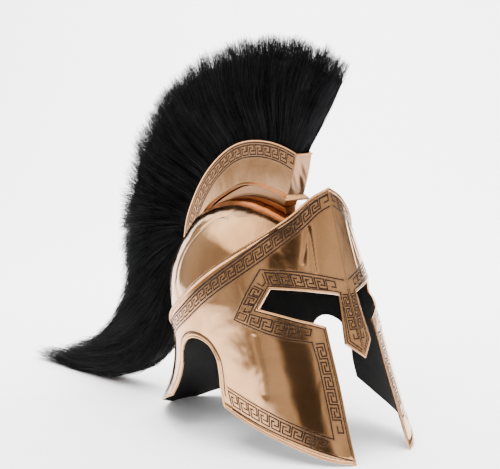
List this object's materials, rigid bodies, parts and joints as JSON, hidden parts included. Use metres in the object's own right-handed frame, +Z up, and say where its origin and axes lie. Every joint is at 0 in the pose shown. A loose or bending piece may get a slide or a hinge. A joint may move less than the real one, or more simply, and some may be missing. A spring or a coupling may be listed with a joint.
{
  "type": "crested full-face helmet",
  "caption": "Corinthian helmet of polished copper sheet with key-pattern bands, a raised crest box and a black horsehair plume.",
  "frame": {"origin": "centre of the box round the whole helmet and plume, at floor level", "axes": "+X across the head towards the wearer's left, -Y the way the face looks, +Y towards the tail of the plume, +Z up"},
  "size_m": [0.2048, 0.628, 0.4318],
  "materials": {
    "polished_copper": "polished copper colour with darkened engraving",
    "black_horsehair": "matte black hair"
  },
  "bodies": {
    "root": {"face_guard": "polished_copper", "skull_cap": "polished_copper", "crest_keel": "polished_copper", "crest_box": "polished_copper", "plume": "black_horsehair"}
  },
  "joints": []
}
